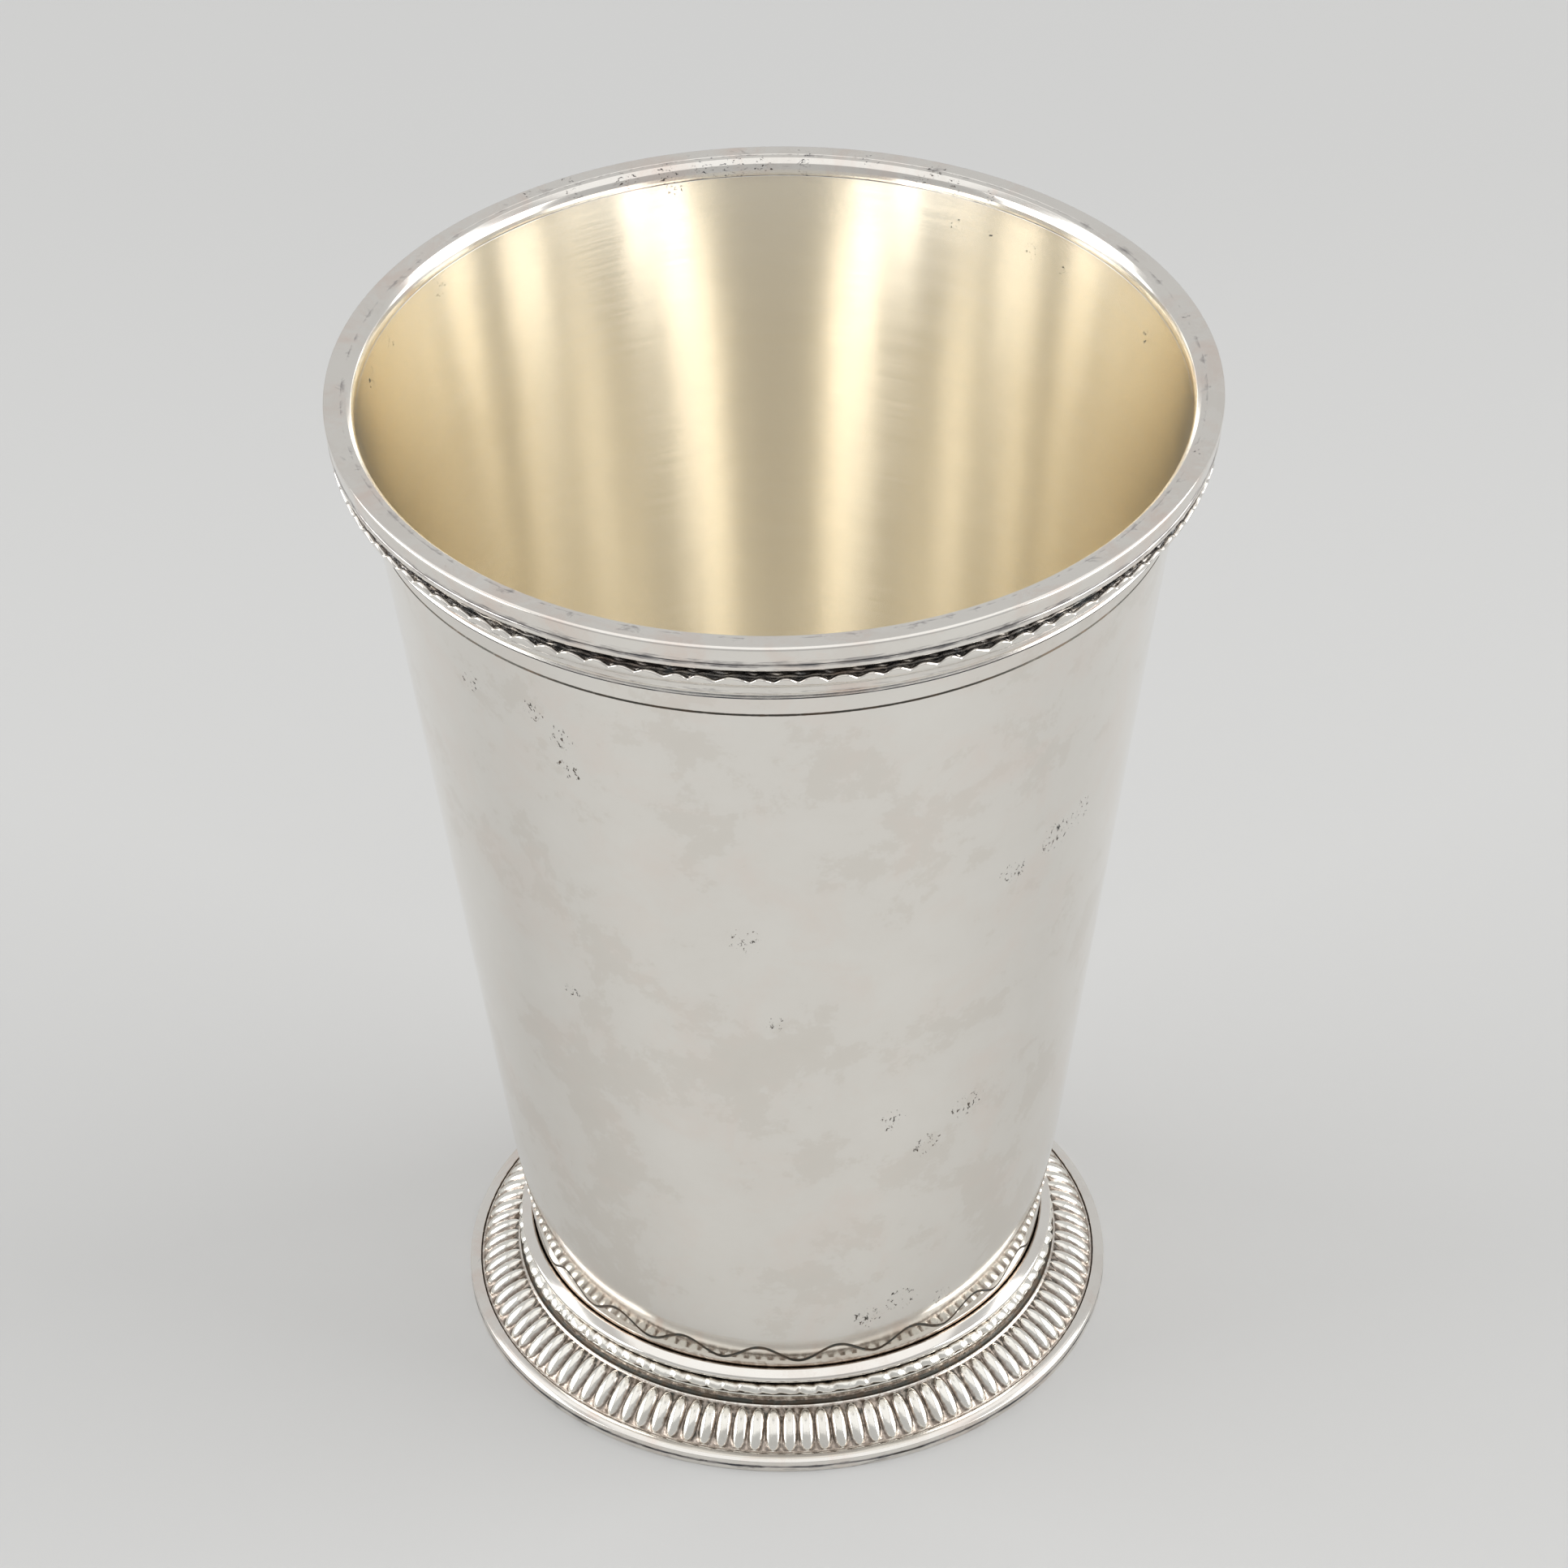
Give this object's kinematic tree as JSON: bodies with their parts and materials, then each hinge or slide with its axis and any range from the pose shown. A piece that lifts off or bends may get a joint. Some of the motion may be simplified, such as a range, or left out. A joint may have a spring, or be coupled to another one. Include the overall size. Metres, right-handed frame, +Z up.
{
  "type": "silver beaker",
  "caption": "Tapered silver beaker, gilt inside, with a flat-topped rim, a scalloped wire and a gadrooned spreading foot.",
  "frame": {"origin": "centre of the foot's resting face", "axes": "+Z up along the beaker's axis, towards the mouth; X and Y are alike"},
  "size_m": [0.1, 0.1, 0.128],
  "materials": {
    "polished_silver": "polished sterling silver with faint tarnish",
    "satin_silver": "satin silver, tarnished in spots",
    "oxidised_silver": "silver ornament, bright on the crests and dark in the gaps",
    "gilding": "pale gold wash, polished"
  },
  "bodies": {
    "root": {"cup_wall": "polished_silver", "cup_bottom": "gilding", "mouth_rim": "satin_silver", "collar_band": "satin_silver", "scallop_wire": "oxidised_silver", "base_ring": "polished_silver", "rope_wire": "oxidised_silver", "foot_flange": "oxidised_silver", "foot_edge": "satin_silver"}
  },
  "joints": []
}
